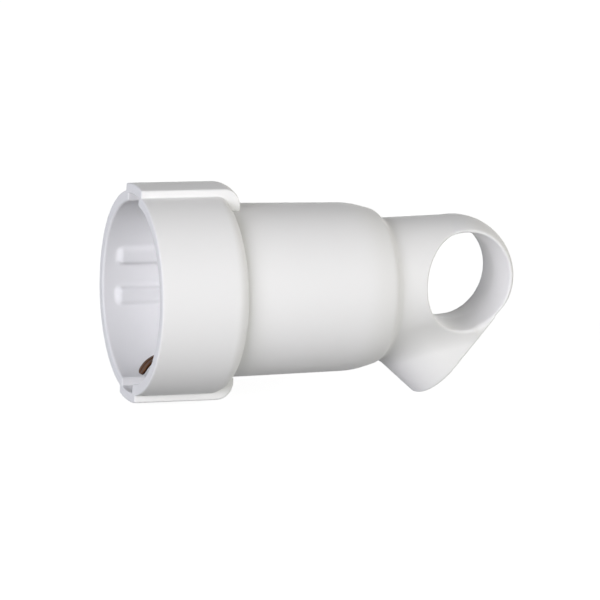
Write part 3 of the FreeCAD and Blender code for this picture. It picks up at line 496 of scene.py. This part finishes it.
brass = drawnMetal("drawnBrass", contactBrass)
# the strap's material is darkened beyond its own colour: painted shade
shadedBronze = drawnMetal("bronzeStripPaintedShade", strapBronzeShaded)
steel = drawnMetal("zincPlatedSteel", screwSteel)


def dress(item, material):
    item.data.materials.clear()
    item.data.materials.append(material)


for piece, node, material, slot in ((front, "socket_front", whiteAbs, "body_white"),
                                    (sleeve, "barrel_sleeve", whiteAbs, "body_white"),
                                    (cap, "ring_handle", whiteAbs, "body_white"),
                                    (strap, "earth_strap", shadedBronze, "strap_brass")):
    dress(piece, material)
    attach(piece, "root")
    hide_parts(node)

nodeMaterials = {
    "contact_base": ureaResin, "base_cover": ureaResin, "cord_clamp_bar": ureaResin,
    "contact_left": brass, "contact_right": brass, "terminal_left": brass, "terminal_right": brass,
    "terminal_earth": brass, "earth_rivet": brass,
}
for name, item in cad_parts.items():
    for holder in item.material_slots:
        holder.material = nodeMaterials.get(name, steel)
print("materials set")

# Floor: pale studio paper. The camera and shiny surfaces see it near white, and it keeps the object's shadow
floorPaper = {"gapMm": 0.03, "size": 6.0, "colour": "#9c9c9c", "seen": 0.9, "fibreMm": 1.5,
              "fibreDepthMm": 0.02}


def seenRays(tree):  # 1 for the rays of the camera and of shiny or clear surfaces, 0 for soft light
    path = addNode(tree, "ShaderNodeLightPath")
    seen = path.outputs["Is Camera Ray"]
    for kind in ("Is Glossy Ray", "Is Transmission Ray"):
        either = addNode(tree, "ShaderNodeMath", {"operation": "MAXIMUM"}, {0: seen, 1: path.outputs[kind]})
        seen = either.outputs[0]
    return seen


def addFloor():
    half = floorPaper["size"] / 2
    mesh = bpy.data.meshes.new("floor")
    corners = [(-half, -half, 0), (half, -half, 0), (half, half, 0), (-half, half, 0)]
    mesh.from_pydata(corners, [], [(0, 1, 2, 3)])
    item = addObject("floor", mesh)
    item.location.z = cadBox[0][2] - floorPaper["gapMm"] * mm
    material, tree = newMaterial("studioPaper")
    level = addNode(tree, "ShaderNodeMath", {"operation": "MULTIPLY", 1: floorPaper["seen"]},
                    {0: seenRays(tree)})
    place = addNode(tree, "ShaderNodeTexCoord")
    fibre = addNode(tree, "ShaderNodeTexNoise", {"Scale": 1000 / floorPaper["fibreMm"], "Detail": 3.0},
                    {"Vector": place.outputs["Object"]})
    bump = addNode(tree, "ShaderNodeBump", {"Strength": 0.05, "Distance": floorPaper["fibreDepthMm"] * mm},
                   {"Height": fibre.outputs["Fac"]})
    paper = addNode(tree, "ShaderNodeBsdfPrincipled",
                    {"Base Color": linear(floorPaper["colour"]), "Roughness": 0.9, "Specular IOR Level": 0.1},
                    {"Normal": bump.outputs["Normal"]})
    glow = addNode(tree, "ShaderNodeEmission", {"Color": (1, 1, 1, 1)}, {"Strength": level.outputs[0]})
    both = addNode(tree, "ShaderNodeAddShader", {}, {0: paper.outputs["BSDF"], 1: glow.outputs["Emission"]})
    addNode(tree, "ShaderNodeOutputMaterial", {}, {"Surface": both.outputs["Shader"]})
    dress(item, material)


addFloor()

# Light: soft boxes all round, most of them low and the cool ones on the mouth's side, and a very faint fill
studio = {
    "boxDistance": 1.6, "boxSize": 1.1,
    "boxes": {  # degrees round from the front to the mouth's side, degrees up, watts, tint
        "frontLeft": (50, 5, 34.2, "#faf9ff"),
        "left": (100, 12, 2.3, "#c7deff"),
        "frontRight": (-20, 5, 13.2, "#fefff5"),
        "right": (-70, 12, 10.0, "#fffbfa"),
        "rearRight": (-110, 40, 2.4, "#fffcf4"),
        "back": (-158, 4, 6.5, "#ffffff"),
    },
    "room": "#fff8e0", "roomStrength": 0.005,
}


def addSoftBoxes():
    middle = Vector(((cadBox[0][0] + cadBox[1][0]) / 2, 0, 0))
    for name, (turn, height, watts, tint) in studio["boxes"].items():
        data = bpy.data.lights.new(name, "AREA")
        data.shape = "SQUARE"
        data.size = studio["boxSize"]
        data.energy = watts
        data.color = linear(tint)[:3]
        item = addObject(name, data)
        turn, height = math.radians(turn), math.radians(height)
        towards = Vector((-math.sin(turn), -math.cos(turn), math.tan(height))).normalized()
        item.location = middle + towards * studio["boxDistance"]
        item.rotation_euler = towards.to_track_quat("Z", "Y").to_euler()


def addRoom():
    world = bpy.data.worlds.new("room")
    scene.world = world
    world.use_nodes = True
    tree = world.node_tree
    tree.nodes.clear()
    room = addNode(tree, "ShaderNodeBackground",
                   {"Color": linear(studio["room"]), "Strength": studio["roomStrength"]})
    white = addNode(tree, "ShaderNodeBackground", {"Color": (1, 1, 1, 1), "Strength": 1.0})
    both = addNode(tree, "ShaderNodeMixShader", {},
                   {0: seenRays(tree), 1: room.outputs[0], 2: white.outputs[0]})
    addNode(tree, "ShaderNodeOutputWorld", {}, {"Surface": both.outputs[0]})


addSoftBoxes()
addRoom()
scene.view_settings.view_transform = "Standard"
print("light set")
